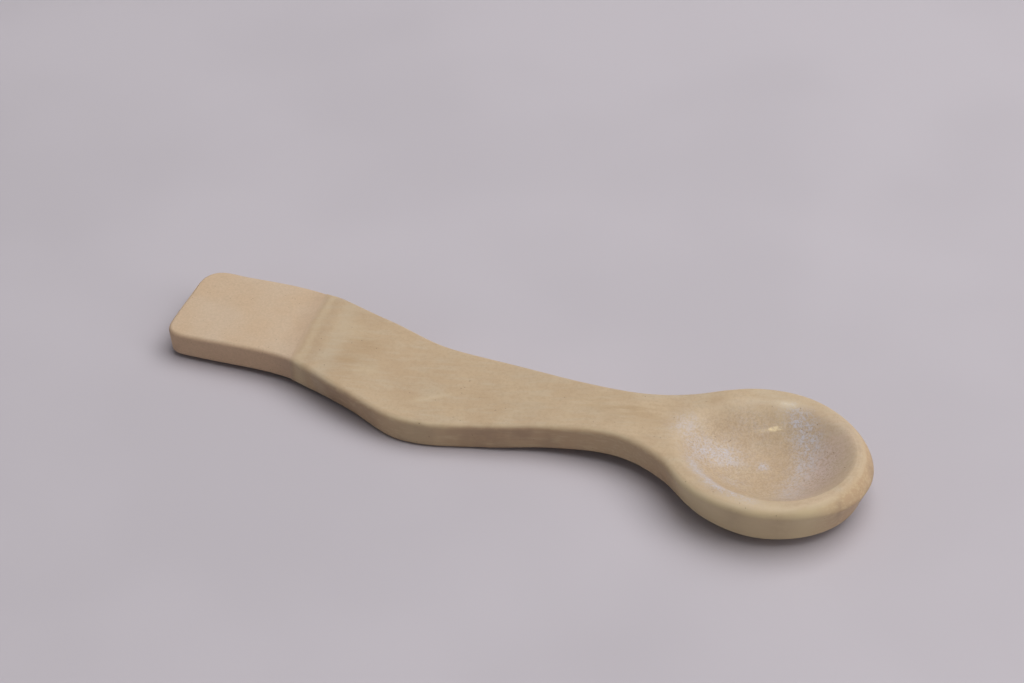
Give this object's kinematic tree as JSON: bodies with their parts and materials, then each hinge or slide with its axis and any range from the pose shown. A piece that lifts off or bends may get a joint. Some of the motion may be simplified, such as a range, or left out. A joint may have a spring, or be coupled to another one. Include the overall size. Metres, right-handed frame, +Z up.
{
  "type": "spoon",
  "caption": "Hand-made stoneware spoon: a wavy slab handle, a round shallow bowl, and a satin cream-tan glaze that leaves the handle's end as bare clay",
  "frame": {"origin": "centre of the flat under the bowl, on the surface that the spoon lies on", "axes": "+X along the spoon from the handle to the bowl's tip, +Y to the spoon's left, +Z up out of the bowl"},
  "size_m": [0.121, 0.0304, 0.0096],
  "materials": {
    "bare_clay": "matte, fine-grained pinkish-beige stoneware, left unglazed",
    "glaze": "satin cream-tan glaze with soft streaks, tiny pinholes and a pale crystalline bloom in the bowl"
  },
  "bodies": {
    "root": {"clay_body": "bare_clay", "glaze_coat": "glaze"}
  },
  "joints": []
}
